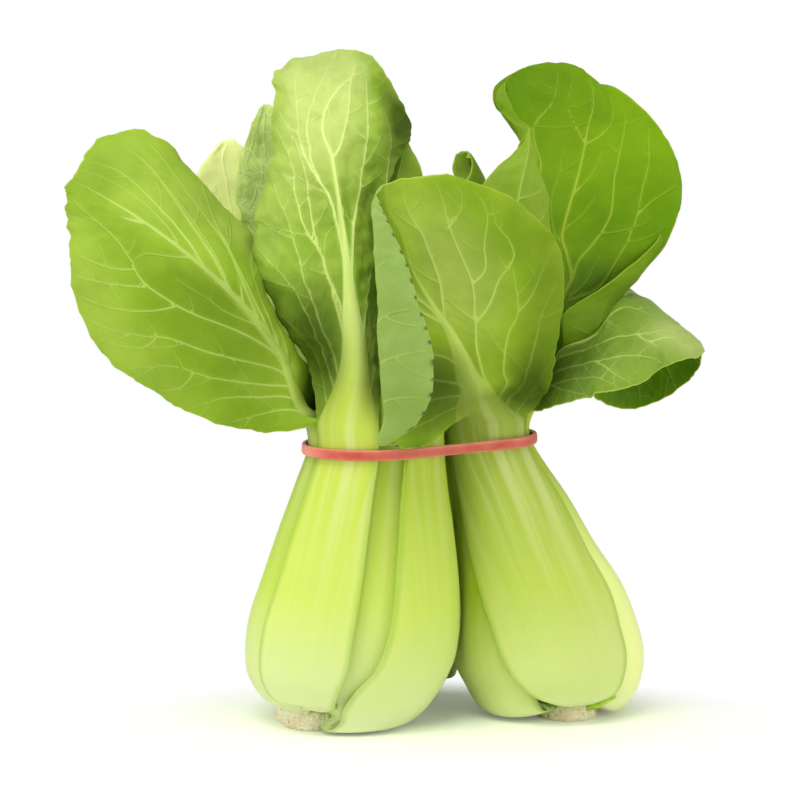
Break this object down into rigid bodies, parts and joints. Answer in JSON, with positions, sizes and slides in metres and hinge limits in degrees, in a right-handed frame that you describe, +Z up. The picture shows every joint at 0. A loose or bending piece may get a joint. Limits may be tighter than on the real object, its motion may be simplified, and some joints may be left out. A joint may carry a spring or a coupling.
{
  "type": "bok choy",
  "caption": "Bunch of baby bok choy heads with pale green petioles and broad veined leaves, standing on their cut ends and held at the necks by a red rubber band.",
  "frame": {"origin": "on the surface that the bunch stands on, under the middle of its box", "axes": "+Z up, the way the leaves grow; -Y towards the front of the bunch, where the two big heads stand side by side; +X to the right as seen from the front"},
  "size_m": [0.1776, 0.112, 0.1871],
  "materials": {
    "leaf_green": "satin waxy leaf, pale yellow-green petiole to mid green blade with pale veins",
    "stem_cut": "matt, fibrous cut plant tissue with brown specks",
    "shoot_green": "smooth bright green stalk",
    "rubber_red": "satin, slightly see-through rubber"
  },
  "bodies": {
    "root": {"left_stem_base": "stem_cut", "left_leaf_back_dark": "leaf_green", "left_leaf_back_pale": "leaf_green", "left_leaf_back_right": "leaf_green", "left_leaf_front": "leaf_green", "left_leaf_heart": "leaf_green", "left_leaf_inner": "leaf_green", "left_leaf_right": "leaf_green", "left_leaf_side": "leaf_green", "right_stem_base": "stem_cut", "right_cut_shoot": "shoot_green", "right_leaf_back": "leaf_green", "right_leaf_drooping": "leaf_green", "right_leaf_front": "leaf_green", "right_leaf_heart": "leaf_green", "right_leaf_left": "leaf_green", "right_leaf_upper": "leaf_green", "back_stem_base": "stem_cut", "back_leaf_back": "leaf_green", "back_leaf_front_left": "leaf_green", "back_leaf_front_right": "leaf_green", "back_leaf_heart": "leaf_green", "back_leaf_left": "leaf_green", "back_leaf_right": "leaf_green", "rubber_band": "rubber_red"}
  },
  "joints": []
}
